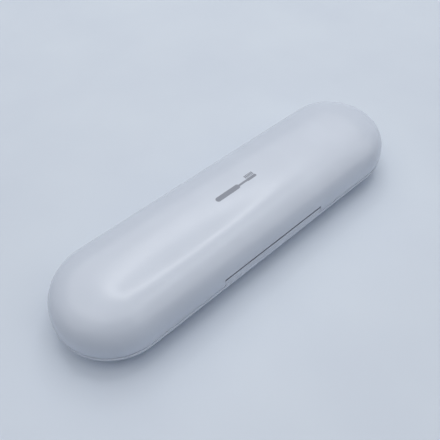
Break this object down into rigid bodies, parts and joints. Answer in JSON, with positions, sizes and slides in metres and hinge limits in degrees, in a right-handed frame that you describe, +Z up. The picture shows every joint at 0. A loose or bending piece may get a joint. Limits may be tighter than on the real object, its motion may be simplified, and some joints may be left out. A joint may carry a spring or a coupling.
{
  "type": "toothbrush travel case",
  "caption": "Hard white capsule-shaped clamshell case with a flush pin hinge, a moulded handle trough, wells for spare brush heads and magnetic closure.",
  "frame": {"origin": "middle of the flat underside, on the surface the case stands on", "axes": "+X along the case, +Y from the hinge to the front, +Z up"},
  "size_m": [0.245, 0.068, 0.0376],
  "materials": {
    "shell_plastic": "white satin moulded plastic, fine bead-blasted skin",
    "hinge_plastic": "white satin moulded plastic of the hinge",
    "tray_plastic": "pale grey moulded plastic, smooth matt",
    "soft_pad": "soft grey thermoplastic rubber",
    "screw_steel": "turned screw steel",
    "pin_steel": "ground steel rod",
    "magnet_nickel": "nickel plated magnet"
  },
  "bodies": {
    "base": {"base_shell": "shell_plastic", "base_tray": "tray_plastic", "tray_screws": "screw_steel", "handle_pad_left": "soft_pad", "handle_pad_right": "soft_pad", "head_clip_left": "soft_pad", "head_clip_right": "soft_pad", "base_magnets": "magnet_nickel", "hinge_leaf": "hinge_plastic", "leaf_screws": "screw_steel", "hinge_pin": "pin_steel"},
    "lid": {"lid_shell": "shell_plastic", "lid_liner": "tray_plastic", "liner_screws": "screw_steel", "lid_pad_left": "soft_pad", "lid_pad_right": "soft_pad", "lid_magnets": "magnet_nickel", "hinge_bracket_left": "hinge_plastic", "hinge_bracket_right": "hinge_plastic", "bracket_screws": "screw_steel"}
  },
  "joints": [
    {"name": "lid_hinge", "type": "hinge", "parent": "base", "child": "lid", "pos_m": [0, -0.03205, 0.0174], "axis": [1, 0, 0], "range_deg": [0, 95]}
  ]
}
